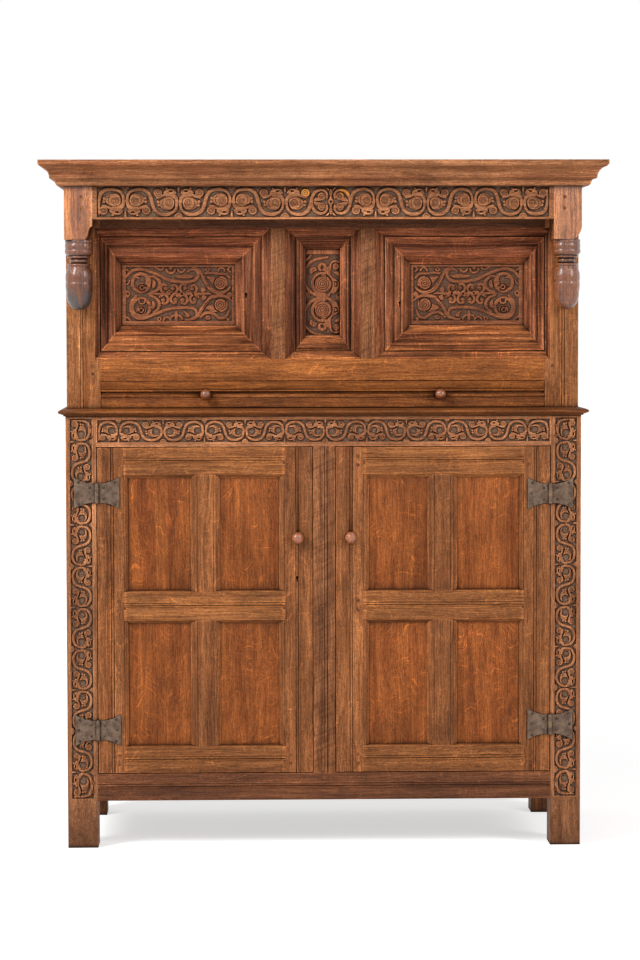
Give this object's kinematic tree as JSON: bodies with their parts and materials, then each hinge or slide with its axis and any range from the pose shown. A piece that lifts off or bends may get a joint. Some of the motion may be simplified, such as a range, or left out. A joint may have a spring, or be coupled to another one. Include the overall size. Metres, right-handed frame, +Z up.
{
  "type": "court cupboard",
  "caption": "Joined oak court cupboard in two stages, with carved friezes, turned pendants, hinged panelled doors and a long frieze drawer.",
  "frame": {"origin": "on the floor, under the middle of the whole outline, cornice included", "axes": "+Z up; the front, with the doors, faces -Y; +X is to the right seen from the front"},
  "size_m": [1.395, 0.605, 1.7],
  "materials": {
    "oak": "old waxed oak, mid brown",
    "oak_panel": "old waxed quarter-sawn oak, orange brown",
    "turned_oak": "polished turned oak",
    "oak_inside": "dry unpolished oak",
    "iron": "wrought iron, dark and worn"
  },
  "bodies": {
    "carcass": {"back_rails": "oak_inside", "bearers": "oak_inside", "canopy_frieze_rail": "oak", "case_mid_rail": "oak", "case_top_rail": "oak", "centre_muntin": "oak", "centre_panel": "oak", "centre_panel_moulding": "oak", "cornice_front": "oak", "cornice_returns": "oak", "door_pivots": "iron", "drawer_runners": "oak_inside", "front_post_left": "oak", "front_post_right": "oak", "hinge_pins": "iron", "joint_pegs": "oak", "lower_back_boards": "oak_inside", "lower_bottom_rail": "oak", "lower_floor_boards": "oak_inside", "lower_frieze_rail": "oak", "lower_rear_posts": "oak", "lower_side_frames": "oak", "lower_side_panels": "oak_panel", "middle_top": "oak", "opening_mouldings": "oak", "pendant_left": "turned_oak", "pendant_right": "turned_oak", "post_hinge_leaves": "iron", "shelf_boards": "oak_inside", "top_boards": "oak_inside", "upper_back_boards": "oak_inside", "upper_floor_boards": "oak_inside", "upper_muntins": "oak", "upper_rear_posts": "oak", "upper_side_frames": "oak", "upper_side_panels": "oak", "upper_stile_left": "oak", "upper_stile_right": "oak"},
    "lower_left_door": {"lower_left_door_frame": "oak", "lower_left_door_panels": "oak_panel", "lower_left_door_hinge_leaves": "iron", "lower_left_door_knob": "turned_oak", "lower_left_door_lock": "iron"},
    "lower_left_bolt": {"lower_left_door_bolt": "iron"},
    "lower_right_door": {"lower_right_door_frame": "oak", "lower_right_door_panels": "oak_panel", "lower_right_door_hinge_leaves": "iron", "lower_right_door_knob": "turned_oak"},
    "upper_left_door": {"upper_left_door_frame": "oak", "upper_left_door_panel": "oak", "upper_left_door_lock": "iron"},
    "upper_left_bolt": {"upper_left_door_bolt": "iron"},
    "upper_right_door": {"upper_right_door_frame": "oak", "upper_right_door_panel": "oak", "upper_right_door_lock": "iron"},
    "upper_right_bolt": {"upper_right_door_bolt": "iron"},
    "drawer": {"drawer_front": "oak", "drawer_sides_and_back": "oak_inside", "drawer_bottom": "oak_inside", "drawer_knobs": "turned_oak"}
  },
  "joints": [
    {"name": "lower_left_door_hinge", "type": "hinge", "parent": "carcass", "child": "lower_left_door", "pos_m": [-0.5615, -0.2483, 0.589], "axis": [0, 0, -1], "range_deg": [0, 165]},
    {"name": "lower_right_door_hinge", "type": "hinge", "parent": "carcass", "child": "lower_right_door", "pos_m": [0.5615, -0.2483, 0.591], "axis": [0, 0, 1], "range_deg": [0, 165]},
    {"name": "upper_left_door_hinge", "type": "hinge", "parent": "carcass", "child": "upper_left_door", "pos_m": [-0.5425, -0.1635, 1.3735], "axis": [0, 0, -1], "range_deg": [0, 95]},
    {"name": "upper_right_door_hinge", "type": "hinge", "parent": "carcass", "child": "upper_right_door", "pos_m": [0.5425, -0.1635, 1.3735], "axis": [0, 0, 1], "range_deg": [0, 95]},
    {"name": "drawer_slide", "type": "slide", "parent": "carcass", "child": "drawer", "axis": [0, -1, 0], "range_m": [0, 0.3]},
    {"name": "lower_left_bolt_slide", "type": "slide", "parent": "lower_left_door", "child": "lower_left_bolt", "axis": [1, 0, 0], "range_m": [0, 0.01]},
    {"name": "upper_left_bolt_slide", "type": "slide", "parent": "upper_left_door", "child": "upper_left_bolt", "axis": [1, 0, 0], "range_m": [0, 0.01]},
    {"name": "upper_right_bolt_slide", "type": "slide", "parent": "upper_right_door", "child": "upper_right_bolt", "axis": [-1, 0, 0], "range_m": [0, 0.01]}
  ]
}
